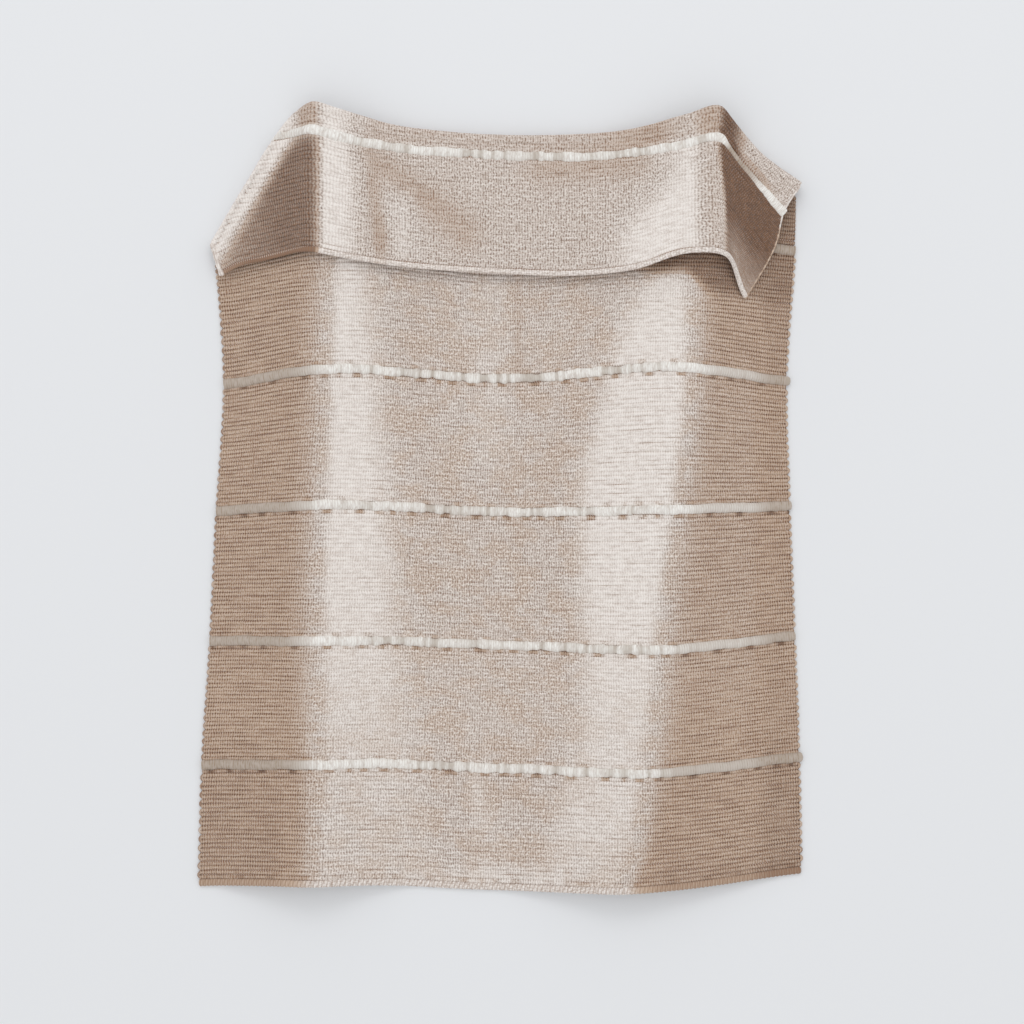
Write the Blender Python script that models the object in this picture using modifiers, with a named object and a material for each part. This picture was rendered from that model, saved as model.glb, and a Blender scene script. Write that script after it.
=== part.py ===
"""Woven throw blanket, laid out face up with its top end turned down as a flap.

One closed sheet: a body with two soft lengthwise ridges, a round fold at the top,
a flap that lies over the body, and six thick roving stripes.
X runs across the blanket, Y from the plain hem to the fold, Z up off the floor.
"""

import math

import bpy
import numpy as np

# --- driving dimensions, in metres ---------------------------------------------
# The flat cut is 1.270 across by 1.778 from hem to hem.
CLOTH_THICKNESS = 0.006       # ribbed weave between the roving stripes
ROVING_THICKNESS = 0.015      # through the middle of a roving stripe
ROVING_HALF_WIDTH = 0.014     # half the height of a roving stripe
ROVING_END_BULGE = 0.006      # how far a roving's turned end passes the selvedge
STRIPE_PITCH = 0.262          # from one roving stripe to the next along the cloth
FIRST_STRIPE = 0.232          # from the bottom hem to the first stripe
BODY_STRIPES = 5              # the sixth stripe lies on the flap
FOLD_AT = 1.500               # from the bottom hem to the turned-down fold
MIDDLE_FOOT_LEFT = 0.210      # left ridge: from its crest to the floor, inward
MIDDLE_FOOT_RIGHT = 0.260     # right ridge: from its crest to the floor, inward

# Cloth lines across the body: flat distance from the bottom hem, the x of both
# selvedges, and the y of the line at five places between them.
LINE_STATIONS = (0.0, 0.2, 0.5, 0.8, 1.0)
BODY_LINES = (
    # flat,  x_left, x_right,  y at each of the stations
    (0.000, -0.602, 0.602, (-0.776, -0.768, -0.784, -0.777, -0.750)),
    (0.232, -0.595, 0.597, (-0.534, -0.526, -0.540, -0.541, -0.518)),
    (0.494, -0.579, 0.588, (-0.286, -0.282, -0.294, -0.298, -0.276)),
    (0.756, -0.566, 0.578, (-0.026, -0.014, -0.028, -0.023, -0.016)),
    (1.018, -0.556, 0.576, (0.234, 0.262, 0.238, 0.259, 0.234)),
    (1.280, -0.572, 0.595, (0.472, 0.524, 0.502, 0.516, 0.494)),
)

# The turned-down end by columns across the cloth: share of the width from the
# left selvedge, then x and y of the fold, of the roving stripe and of the hem,
# the radius of the fold, and the height of the hem above the body.
FLAP_COLUMNS = (
    # share   fold_x  fold_y  stripe_x stripe_y  hem_x   hem_y  radius  hem_gap
    (0.000, -0.574, 0.508, -0.558, 0.488, -0.552, 0.446, 0.010, 0.018),
    (0.050, -0.534, 0.576, -0.502, 0.568, -0.508, 0.465, 0.013, 0.020),
    (0.090, -0.494, 0.636, -0.462, 0.636, -0.466, 0.472, 0.015, 0.021),
    (0.130, -0.450, 0.704, -0.418, 0.714, -0.424, 0.481, 0.014, 0.021),
    (0.165, -0.406, 0.764, -0.396, 0.726, -0.394, 0.487, 0.014, 0.021),
    (0.190, -0.374, 0.780, -0.364, 0.728, -0.368, 0.489, 0.014, 0.021),
    (0.220, -0.326, 0.780, -0.320, 0.720, -0.326, 0.484, 0.013, 0.021),
    (0.300, -0.227, 0.752, -0.226, 0.704, -0.226, 0.473, 0.012, 0.021),
    (0.400, -0.103, 0.734, -0.102, 0.696, -0.102, 0.462, 0.012, 0.021),
    (0.500, 0.022, 0.727, 0.022, 0.690, 0.022, 0.451, 0.012, 0.021),
    (0.600, 0.146, 0.729, 0.146, 0.689, 0.146, 0.451, 0.012, 0.022),
    (0.700, 0.270, 0.740, 0.270, 0.696, 0.270, 0.463, 0.012, 0.026),
    (0.780, 0.370, 0.762, 0.370, 0.709, 0.370, 0.490, 0.013, 0.032),
    (0.820, 0.432, 0.776, 0.428, 0.718, 0.428, 0.487, 0.014, 0.030),
    (0.860, 0.474, 0.740, 0.464, 0.680, 0.454, 0.476, 0.015, 0.027),
    (0.900, 0.514, 0.696, 0.496, 0.646, 0.464, 0.452, 0.015, 0.022),
    (0.950, 0.558, 0.660, 0.530, 0.606, 0.474, 0.422, 0.015, 0.018),
    (1.000, 0.600, 0.630, 0.562, 0.572, 0.484, 0.400, 0.015, 0.016),
)
FLAP_MIDDLE_GAP = 0.022       # height of the flap's middle above the body
FLAP_SELVEDGE_BOW = (0.027, 0.034)   # how far the flap's free side bows out
FLAP_BOW_FROM = 0.86          # share of the width where that bow begins
FLAP_ROVING_FADE = (0.07, 0.13)      # the roving turns behind the fold between these

# The two ridges by their place along Y: crest x, crest height, the x of the outer
# foot, and how sharply the outer flank falls (1 is a straight slope).
LEFT_RIDGE = (
    # y      crest_x  height  foot_x  fall
    (-0.80, -0.368, 0.058, -0.572, 1.2),
    (-0.50, -0.370, 0.064, -0.566, 1.2),
    (-0.20, -0.372, 0.072, -0.552, 1.2),
    (0.20, -0.372, 0.070, -0.534, 1.2),
    (0.42, -0.370, 0.076, -0.536, 1.5),
    (0.50, -0.368, 0.076, -0.550, 1.9),
    (0.60, -0.366, 0.070, -0.508, 1.9),
    (0.70, -0.364, 0.056, -0.440, 1.6),
    (0.80, -0.362, 0.038, -0.392, 1.4),
)
RIGHT_RIDGE = (
    (-0.80, 0.240, 0.052, 0.572, 1.2),
    (-0.50, 0.276, 0.060, 0.566, 1.2),
    (-0.20, 0.308, 0.068, 0.556, 1.2),
    (0.16, 0.356, 0.074, 0.546, 1.2),
    (0.42, 0.392, 0.070, 0.556, 1.4),
    (0.50, 0.416, 0.070, 0.566, 1.6),
    (0.60, 0.430, 0.064, 0.566, 1.6),
    (0.70, 0.432, 0.054, 0.500, 1.4),
    (0.80, 0.432, 0.038, 0.456, 1.3),
)
CREST_ROUNDING = 0.028        # half-width of the rounded top of a ridge
INNER_FALL = 1.55             # the inner flanks are steep at the crest, then easy

COLUMN_SHARES = (
    0.000, 0.018, 0.045, 0.075, 0.105, 0.135, 0.160, 0.180, 0.200, 0.225, 0.260,
    0.300, 0.345, 0.395, 0.450, 0.505, 0.555, 0.600, 0.640, 0.675, 0.705, 0.735,
    0.765, 0.790, 0.812, 0.830, 0.850, 0.875, 0.905, 0.935, 0.965, 0.985, 1.000,
)
STRIPE_ROWS = (-1.0, -0.55, 0.0, 0.55, 1.0)   # rows over a stripe, in half-widths
ROWS_BETWEEN_STRIPES = 3
FOLD_TURN_DEGREES = (-90, -45, 0, 45, 90)
ROWS_BEFORE_FOLD = 2
FLAP_ROWS_TO_HEM = 5
HEM_ROW = 0.010               # width of the first row inside a hem
FOLD_LEAD = 0.020             # flat distance from the last body row to the fold
LEAST_ROW = 0.003             # least distance between two rows beside the fold
FOLD_EASE = 0.9               # how far the fold has closed at the flap's stripe


# --- smooth curves through the tables ------------------------------------------
def curve(keys, values, at):
    """Smooth curve through the values at the keys, flat beyond both ends."""
    keys = np.asarray(keys, dtype=float)
    values = np.asarray(values, dtype=float)
    at = float(min(max(at, keys[0]), keys[-1]))
    i = int(min(max(np.searchsorted(keys, at) - 1, 0), len(keys) - 2))
    slopes = np.gradient(values, keys, axis=0)
    step = keys[i + 1] - keys[i]
    t = (at - keys[i]) / step
    start = values[i] * (2 * t ** 3 - 3 * t ** 2 + 1) + slopes[i] * step * (t ** 3 - 2 * t ** 2 + t)
    end = values[i + 1] * (3 * t ** 2 - 2 * t ** 3) + slopes[i + 1] * step * (t ** 3 - t ** 2)
    return start + end


def fade(low, high, at):
    """0 below low, 1 above high, and a soft step between them."""
    t = min(max((at - low) / (high - low), 0.0), 1.0)
    return t * t * (3 - 2 * t)


# --- height of the cloth's underside above the floor ---------------------------
def flank(distance, width, fall):
    """Share of the ridge's height that is left at a distance from its crest."""
    if distance >= width:
        return 0.0
    rounding = CREST_ROUNDING / width
    share = distance / width
    drop = (math.hypot(share, rounding) - rounding) / (math.hypot(1.0, rounding) - rounding)
    return (1.0 - drop) ** fall


def ridge_height(ridge, inner_width, x, y):
    """Height of one ridge at a place on the floor."""
    crest_x, height, foot_x, fall = curve([row[0] for row in ridge], [row[1:] for row in ridge], y)
    outward = 1.0 if foot_x > crest_x else -1.0
    offset = (x - crest_x) * outward
    if offset > 0:
        return height * flank(offset, abs(foot_x - crest_x), fall)
    return height * flank(-offset, inner_width, INNER_FALL)


def lift(x, y):
    """Height of the body's underside above the floor."""
    left = ridge_height(LEFT_RIDGE, MIDDLE_FOOT_LEFT, x, y)
    right = ridge_height(RIGHT_RIDGE, MIDDLE_FOOT_RIGHT, x, y)
    return max(left, right)


# --- places on the cloth -------------------------------------------------------
def flap_column(share):
    """The flap table's row at a share of the width."""
    return curve([row[0] for row in FLAP_COLUMNS], [row[1:] for row in FLAP_COLUMNS], share)


def fold_start(share):
    """Fold point, direction from the fold towards the flap, and fold radius."""
    row = flap_column(share)
    fold = np.array(row[0:2])
    inward = np.array(row[2:4]) - fold
    inward /= np.linalg.norm(inward)
    return fold, inward, row[6]


def body_place(share, flat):
    """Place on the floor under a point of the body."""
    fold, inward, radius = fold_start(share)
    keys = [line[0] for line in BODY_LINES] + [FOLD_AT - radius]
    places = []
    for _, x_left, x_right, heights in BODY_LINES:
        x = x_left + (x_right - x_left) * share
        places.append((x, curve(LINE_STATIONS, heights, share)))
    places.append(tuple(fold + inward * radius))
    return curve(keys, places, flat)


def flap_knots(share):
    """Distances from the fold and places of the flap's stripe, middle and hem."""
    row = flap_column(share)
    fold, stripe, hem = (np.array(row[i:i + 2]) for i in (0, 2, 4))
    bow = fade(FLAP_BOW_FROM, 1.0, share)
    middle = (stripe + hem) / 2 + np.array(FLAP_SELVEDGE_BOW) * bow
    places = [fold, stripe, middle, hem]
    distances = [0.0]
    for a, b in zip(places, places[1:]):
        distances.append(distances[-1] + float(np.linalg.norm(b - a)))
    gaps = [2 * row[6], 2 * FOLD_EASE * row[6], FLAP_MIDDLE_GAP, row[7]]
    return distances, places, gaps


def roving_share(offset):
    """How much of the roving's extra thickness stands at an offset from its middle."""
    return max(0.0, 1.0 - (offset / ROVING_HALF_WIDTH) ** 2)


def body_point(share, flat):
    """Middle of the cloth's thickness, and the roving's share there."""
    stripes = [FIRST_STRIPE + STRIPE_PITCH * i for i in range(BODY_STRIPES)]
    roving = max(roving_share(flat - stripe) for stripe in stripes)
    x, y = body_place(share, flat)
    if share in (0.0, 1.0):
        x += math.copysign(ROVING_END_BULGE * roving, x)
    thickness = CLOTH_THICKNESS + (ROVING_THICKNESS - CLOTH_THICKNESS) * roving
    return (x, y, lift(x, y) + thickness / 2), roving


def fold_point(share, degrees):
    """Middle of the cloth's thickness on the round fold."""
    fold, inward, radius = fold_start(share)
    turn = math.radians(degrees)
    x, y = fold + inward * radius * (1 - math.cos(turn))
    base = fold + inward * radius
    z = lift(*base) + CLOTH_THICKNESS / 2 + radius * (1 + math.sin(turn))
    return (x, y, z), 0.0


def flap_point(share, row):
    """Middle of the cloth's thickness on the flap, and the roving's share there."""
    distances, places, gaps = flap_knots(share)
    radius = fold_start(share)[2]
    stripe_at = distances[1]
    if row < len(STRIPE_ROWS):
        offset = STRIPE_ROWS[row] * ROVING_HALF_WIDTH
        distance = max(stripe_at + offset, radius + LEAST_ROW * (row + 1))
    else:
        start = stripe_at + ROVING_HALF_WIDTH
        step = (row - len(STRIPE_ROWS) + 1) / FLAP_ROWS_TO_HEM
        distance = start + (distances[-1] - HEM_ROW - start) * step
        if step > 1:
            distance = distances[-1]
    x, y = curve(distances, places, distance)
    gap = curve(distances, gaps, distance)
    roving = roving_share(distance - stripe_at) * fade(*FLAP_ROVING_FADE, share)
    return (x, y, lift(x, y) + CLOTH_THICKNESS / 2 + gap), roving


def row_points():
    """One function for each row of the sheet, from the bottom hem to the flap's hem."""
    flats = [0.0, HEM_ROW]
    last = HEM_ROW
    for i in range(BODY_STRIPES):
        stripe = FIRST_STRIPE + STRIPE_PITCH * i
        first = stripe - ROVING_HALF_WIDTH
        steps = ROWS_BETWEEN_STRIPES + 1
        flats += [last + (first - last) * n / steps for n in range(1, steps)]
        flats += [stripe + ROVING_HALF_WIDTH * offset for offset in STRIPE_ROWS]
        last = flats[-1]
    fold_from = FOLD_AT - FOLD_LEAD
    steps = ROWS_BEFORE_FOLD + 1
    flats += [last + (fold_from - last) * n / steps for n in range(1, steps)]
    rows = [lambda share, flat=flat: body_point(share, flat) for flat in flats]
    rows += [lambda share, turn=turn: fold_point(share, turn) for turn in FOLD_TURN_DEGREES]
    flap_rows = range(len(STRIPE_ROWS) + FLAP_ROWS_TO_HEM + 1)
    rows += [lambda share, row=row: flap_point(share, row) for row in flap_rows]
    return rows


# --- building ------------------------------------------------------------------
def clear_scene():
    for item in list(bpy.data.objects):
        bpy.data.objects.remove(item, do_unlink=True)


def wool_blend():
    """Cream and oat woven wool blend, dull and soft."""
    material = bpy.data.materials.new("woven_wool_blend")
    material.use_nodes = True
    shader = material.node_tree.nodes["Principled BSDF"]
    shader.inputs["Base Color"].default_value = (0.56, 0.48, 0.42, 1.0)
    shader.inputs["Roughness"].default_value = 0.95
    shader.inputs["Metallic"].default_value = 0.0
    return material


def blanket(collection):
    """The whole throw: a grid laid along the cloth's middle, then made thick."""
    rows = row_points()
    bpy.ops.mesh.primitive_grid_add(
        x_subdivisions=len(COLUMN_SHARES) - 1,
        y_subdivisions=len(rows) - 1,
        size=1.0,
    )
    sheet = bpy.context.active_object
    sheet.name = "throw_blanket"
    sheet.data.name = "throw_blanket"
    thickness = sheet.vertex_groups.new(name="roving")
    columns = len(COLUMN_SHARES)
    for vertex in sheet.data.vertices:
        row, column = divmod(vertex.index, columns)
        place, roving = rows[row](COLUMN_SHARES[column])
        vertex.co = place
        thickness.add([vertex.index], roving, "REPLACE")
    wall = sheet.modifiers.new("cloth thickness", "SOLIDIFY")
    wall.thickness = ROVING_THICKNESS
    wall.offset = 0.0
    wall.vertex_group = thickness.name
    wall.thickness_vertex_group = CLOTH_THICKNESS / ROVING_THICKNESS
    sheet.data.shade_smooth()
    sheet.data.materials.append(wool_blend())
    for owner in list(sheet.users_collection):
        owner.objects.unlink(sheet)
    collection.objects.link(sheet)
    return sheet


def main():
    clear_scene()
    collection = bpy.data.collections.new("woven_throw_blanket")
    bpy.context.scene.collection.children.link(collection)
    blanket(collection)


main()
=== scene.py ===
import functools
import math

import bpy
import numpy as np
from bpy.props import FloatProperty, FloatVectorProperty, IntProperty, PointerProperty
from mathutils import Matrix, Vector


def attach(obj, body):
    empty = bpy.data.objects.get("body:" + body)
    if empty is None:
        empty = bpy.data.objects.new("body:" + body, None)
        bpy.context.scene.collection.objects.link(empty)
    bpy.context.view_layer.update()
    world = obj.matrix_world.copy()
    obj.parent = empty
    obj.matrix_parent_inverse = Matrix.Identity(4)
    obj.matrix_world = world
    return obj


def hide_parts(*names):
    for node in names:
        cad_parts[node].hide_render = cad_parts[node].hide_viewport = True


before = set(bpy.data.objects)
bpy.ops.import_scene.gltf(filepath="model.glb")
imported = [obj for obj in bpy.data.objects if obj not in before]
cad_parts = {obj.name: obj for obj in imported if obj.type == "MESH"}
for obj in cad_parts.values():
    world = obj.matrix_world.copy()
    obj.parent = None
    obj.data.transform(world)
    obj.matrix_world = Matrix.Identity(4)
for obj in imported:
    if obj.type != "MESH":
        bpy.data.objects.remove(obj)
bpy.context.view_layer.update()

bl_info = {
    "name": "Ribbed Woven Throw",
    "version": (1, 0, 0),
    "blender": (4, 5, 0),
    "location": "View3D > Sidebar > Throw",
    "description": "Adds a laid-out ribbed throw with raised roving stripes, and its stage",
    "category": "Add Mesh",
}

BLANKET_NODE = "throw_blanket"
BODY = "root"

# --- sizes of the cloth, in metres ---
FLAT_WIDTH = 1.27  # cut width, selvedge to selvedge
FLAT_LENGTH = 1.778  # cut length, hem to hem
CLOTH_THICKNESS = 0.006  # through one weft rib
ROVING_THICKNESS = 0.015  # through the middle of a roving stripe
STRIPE_PITCH = 0.262  # from one roving stripe to the next along the cloth
FIRST_STRIPE = 0.232  # from the bottom hem to the first stripe
BODY_STRIPES = 5  # the sixth stripe lies on the flap
FOLD_AT = 1.500  # from the bottom hem to the turned-down fold
ROVING_ROOM = 0.0080  # half the width left free for a roving stripe
HEM_ROOM = 0.0135  # height left free for a hem
MIDDLE_FOOT_LEFT = 0.210  # left ridge: from its crest to the floor, inward
MIDDLE_FOOT_RIGHT = 0.260  # right ridge: from its crest to the floor, inward
LEFT_CORNER = 0.19  # share of the width where the left corner draws in
RIGHT_CORNER = 0.82  # share of the width where the right corner draws in
RIBS_OVER_FOLD = 12  # ribs counted back from the flap's stripe
RIBS_UNDER_FLAP = 21  # ribs of the body hidden below them
RIGHT_CREASE = 0.845  # share of the width where the flap breaks and hangs steeply
SELVEDGE_ALONG_FLAP = (-0.008, -0.002)  # where the flap's cords start and end, past its fold and hem
FLAP_CORDS = ((0.0, 0.0050), (1.0, 0.0026))  # share of the width and half-width of each
CORD_PITCH = 0.0166  # from one knot of a cord to the next
HEM_HALF_HEIGHT = 0.0038
HEM_LIFT = 0.0010  # how far the body's hem is raised over its middle surface
GROUND_INSET = 0.004  # how far the ground stays inside the hems

# The roving stripes: how far the body's are raised over its middle surface, how far each
# bulges past the selvedges, and where it is pinched at the centre crease, along it.
ROVING_LIFT = 0.0024
LEFT_BULGE = 0.0012
RIGHT_BULGES = (0.008, 0.0025, 0.005, 0.008, 0.0015)
FLAP_BULGES = (0.002, 0.004)
ROVING_NOTCHES = (0.0, 0.0, 0.0, 0.691, 0.0)
FIFTH_ROVING_FROM = 0.012  # share of the width where the fifth starts, inside the left selvedge
# Their puffs, and the ties between them, which take a share off the half sizes.
PUFF_LENGTH = (0.008, 0.017)
HARD_TIE = (0.16, 0.27)
SOFT_TIE = (0.05, 0.14)
HARD_TIE_SHARE = 0.35
DEEPEST_TIE = 0.32
TIE_HALF_LENGTH = 0.0062
NOTCH_DEPTH = 0.24
NOTCH_HALF_LENGTH = 0.016
# Their rounded ends: the share of the bulge and of the half sizes at the last four rings.
BULGE_REACH = np.array((1.0, 0.9, 0.65, 0.25))
BULGE_SIZE = np.array((0.30, 0.66, 0.90, 1.0))

# The weft's turns at the selvedges, left and right: the least and the most that they
# stand out, their painted shade, and how deep between the ribs they look.
SELVEDGES = ((0.0002, 0.0012, 0.8, 0.5), (0.0007, 0.0017, 1.05, 0.55))
TURN_START = 0.003  # how far inside the end of a rib a turn starts
TURN_HALF_SIZES = (0.0030, 0.0026)

# Cloth lines across the body: flat distance from the bottom hem, the x of both
# selvedges, and the y of the line at five places between them.
LINE_STATIONS = (0.0, 0.2, 0.5, 0.8, 1.0)
BODY_LINES = (
    # flat,  x_left, x_right,  y at each of the stations
    (0.000, -0.602, 0.602, (-0.776, -0.768, -0.784, -0.777, -0.750)),
    (0.232, -0.595, 0.597, (-0.534, -0.526, -0.540, -0.541, -0.518)),
    (0.494, -0.579, 0.588, (-0.286, -0.282, -0.294, -0.298, -0.276)),
    (0.756, -0.566, 0.578, (-0.026, -0.014, -0.028, -0.023, -0.016)),
    (1.018, -0.551, 0.572, (0.227, 0.254, 0.238, 0.257, 0.234)),
    (1.280, -0.567, 0.589, (0.472, 0.524, 0.502, 0.516, 0.494)),
)
STRIPES = [FIRST_STRIPE + STRIPE_PITCH * i for i in range(BODY_STRIPES)]
FIFTH_STRIPE = BODY_LINES[-1][0]
FLAP_STRIPE = FIFTH_STRIPE + STRIPE_PITCH

# The turned-down end by columns across the cloth: share of the width from the
# left selvedge, then x and y of the fold, of the roving stripe and of the hem,
# the radius of the fold, and the height of the hem above the body.
FLAP_COLUMNS = np.array((
    # share   fold_x  fold_y  stripe_x stripe_y  hem_x   hem_y  radius  hem_gap
    (0.000, -0.574, 0.508, -0.571, 0.499, -0.552, 0.440, 0.010, 0.018),
    (0.050, -0.534, 0.576, -0.530, 0.557, -0.508, 0.459, 0.013, 0.020),
    (0.090, -0.496, 0.638, -0.491, 0.610, -0.466, 0.465, 0.015, 0.021),
    (0.130, -0.456, 0.704, -0.450, 0.668, -0.424, 0.472, 0.014, 0.021),
    (0.165, -0.410, 0.762, -0.407, 0.720, -0.394, 0.477, 0.014, 0.021),
    (0.190, -0.374, 0.778, -0.373, 0.723, -0.368, 0.478, 0.014, 0.021),
    (0.220, -0.326, 0.768, -0.322, 0.712, -0.326, 0.472, 0.013, 0.021),
    (0.300, -0.227, 0.743, -0.226, 0.697, -0.226, 0.460, 0.012, 0.021),
    (0.400, -0.103, 0.727, -0.102, 0.687, -0.102, 0.450, 0.012, 0.021),
    (0.500, 0.022, 0.720, 0.022, 0.680, 0.022, 0.443, 0.012, 0.021),
    (0.600, 0.146, 0.722, 0.146, 0.678, 0.146, 0.440, 0.012, 0.022),
    (0.700, 0.270, 0.732, 0.270, 0.684, 0.270, 0.450, 0.012, 0.026),
    (0.780, 0.370, 0.756, 0.370, 0.697, 0.370, 0.476, 0.013, 0.032),
    (0.820, 0.432, 0.770, 0.428, 0.706, 0.428, 0.474, 0.014, 0.033),
    (0.845, 0.456, 0.750, 0.448, 0.689, 0.446, 0.467, 0.015, 0.036),
    (0.870, 0.482, 0.723, 0.470, 0.664, 0.456, 0.457, 0.015, 0.027),
    (0.900, 0.514, 0.689, 0.496, 0.637, 0.464, 0.440, 0.015, 0.018),
    (0.950, 0.558, 0.654, 0.530, 0.599, 0.474, 0.412, 0.015, 0.012),
    (1.000, 0.600, 0.626, 0.562, 0.566, 0.484, 0.392, 0.015, 0.009),
))
FLAP_MIDDLE_GAP = 0.022  # height of the flap's middle above the body
FOLD_EASE = 0.9  # how far the fold has closed at the flap's stripe
FLAP_SELVEDGE_BOW = (0.027, 0.034)  # how far the flap's free side bows out
FLAP_BOW_FROM = 0.86  # share of the width where that bow begins

# The two ridges by their place along Y: crest x, crest height, the x of the outer
# foot, and how sharply the outer flank falls (1 is a straight slope).
LEFT_RIDGE = np.array((
    # y      crest_x  height  foot_x  fall
    (-0.80, -0.368, 0.058, -0.572, 1.2),
    (-0.50, -0.370, 0.064, -0.566, 1.2),
    (-0.20, -0.372, 0.072, -0.552, 1.2),
    (0.20, -0.372, 0.070, -0.534, 1.2),
    (0.42, -0.370, 0.076, -0.536, 1.5),
    (0.50, -0.368, 0.076, -0.550, 1.9),
    (0.60, -0.366, 0.070, -0.508, 1.9),
    (0.70, -0.364, 0.056, -0.440, 1.6),
    (0.80, -0.362, 0.038, -0.392, 1.4),
))
RIGHT_RIDGE = np.array((
    (-0.80, 0.240, 0.052, 0.572, 1.2),
    (-0.50, 0.276, 0.060, 0.566, 1.2),
    (-0.20, 0.308, 0.068, 0.556, 1.2),
    (0.16, 0.356, 0.074, 0.546, 1.2),
    (0.42, 0.392, 0.070, 0.556, 1.4),
    (0.50, 0.416, 0.070, 0.566, 1.6),
    (0.60, 0.430, 0.064, 0.566, 1.6),
    (0.70, 0.432, 0.054, 0.500, 1.4),
    (0.80, 0.432, 0.038, 0.456, 1.3),
))
CREST_ROUNDING = (0.024, 0.010)  # half-width of a ridge's rounded top, on the body and under the flap
INNER_FALL = 1.55  # the inner flanks are steep at the crest, then easy

# Painted light and shade on the cloth is one number: 0 is a pale painted highlight, 0.5 is
# level, more is warmer and darker painted shade, and over 1 is the deepest painted shade, as where the flap
# hangs steeply.
LEVEL_LEAN = 0.5
# Painted shade outside the left and right ridges, painted shadow under the flap's right end, and the most
# painted shade allowed.
LEFT_WING_SHADE = 0.94
RIGHT_WING_SHADE = 0.81
UNDER_FLAP_SHADE = 1.6
DEEPEST_SHADE = 2.1
LOW_STRIPE_SHADE = 0.25  # how much painted shade the rib above a roving stripe or the hem gets, in patches
HIGH_STRIPE_SHADE = 0.85  # and the rib below a roving stripe, as a painted shadow under it
MIDDLE_PALE_X = -0.022  # where the middle of the body is pale
BODY_STREAKS = (
    # x      y     half_x  half_y  paled
    (-0.045, -0.585, 0.022, 0.055, 0.48),
    (0.026, -0.600, 0.014, 0.045, -0.20),
)
# A short streak of painted shade on the flap, where a crease falls.
FLAP_STREAKS = (
    # x      y    half_x  half_y  shade
    (-0.236, 0.512, 0.014, 0.042, 0.24),
)

# The pale bands of painted highlight on the inner side of each ridge, by their place along Y:
# the x of the outer and inner edge of each, and how pale it is.
PALE_BANDS = np.array((
    # y      left_outer inner  pale  right_inner outer  pale
    (-0.80, -0.398, -0.110, 0.38, 0.060, 0.262, 0.34),
    (-0.69, -0.394, -0.120, 0.42, 0.088, 0.286, 0.56),
    (-0.46, -0.388, -0.165, 0.54, 0.150, 0.318, 0.60),
    (-0.20, -0.386, -0.195, 0.78, 0.160, 0.340, 0.84),
    (0.04, -0.378, -0.216, 0.90, 0.162, 0.370, 0.88),
    (0.16, -0.372, -0.230, 0.90, 0.192, 0.384, 0.88),
    (0.39, -0.366, -0.244, 0.88, 0.262, 0.394, 0.76),
    (0.47, -0.360, -0.250, 0.86, 0.312, 0.396, 0.60),
))

# Soft creases, placed one by one: from and to, half-width, and height.
BODY_CREASES = (
    (0.036, 0.50, 0.036, 0.20, 0.010, 0.0035),
    (-0.010, 0.20, -0.020, -0.10, 0.014, 0.0030),
    (-0.060, -0.50, -0.050, -0.74, 0.028, 0.0026),
)
FLAP_CREASES = (
    (-0.290, 0.700, -0.150, 0.600, 0.026, -0.0070),
    (-0.150, 0.600, -0.050, 0.510, 0.036, -0.0050),
    (-0.256, 0.640, -0.234, 0.495, 0.016, -0.0050),
    (-0.200, 0.600, -0.190, 0.470, 0.030, 0.0030),
    (0.060, 0.655, 0.290, 0.668, 0.034, -0.0020),
)

# --- stage ---
CAMERA_HEIGHT = 4.0
CAMERA_AIM = (0.024, -0.028)  # the place on the floor right below the camera
LENS = 70.3  # mm
SENSOR_WIDTH = 36.0  # mm
FLOOR_SIZE = 60.0
FLOOR_DROP = 0.0005  # how far the floor lies under the cloth, so that they don't touch
FLOOR_PALE = "#EBEDF0"
EVEN_STRENGTH = 0.845  # white light from all round
KEY_PLACE = (0.0, 5.0, 5.2)  # one long soft light beyond the fold, aimed at the origin
KEY_LENGTH = 4.0
KEY_WIDTH = 2.5
KEY_POWER = 29.0  # watts
KEY_SPREAD = 120.0  # degrees

# --- fineness of the meshes and the pattern ---
RIB_SIDES = 8
RIB_STEPS = 150
ROVING_SIDES = 14
ROVING_STEPS = 860
HEM_SIDES = 10
HEM_STEPS = 1100
TURN_SIDES = 6
TURN_STEPS = 6
SELVEDGE_STEPS = 90
GROUND_COLUMNS = 120
BODY_ROWS = 130
FOLD_ROWS = 14
FLAP_ROWS = 26
FINITE_STEP = 0.001  # distance used to find a direction on the cloth
WARP_PITCH = 0.0053  # one warp end to the next is about 4 mm, drawn a little coarser to show


def linear(colour):
    """Linear colour with alpha from an sRGB hex value."""
    channels = [int(colour[i:i + 2], 16) / 255 for i in (1, 3, 5)]
    return tuple(c / 12.92 if c <= 0.04045 else ((c + 0.055) / 1.055) ** 2.4 for c in channels) + (1.0,)


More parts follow.
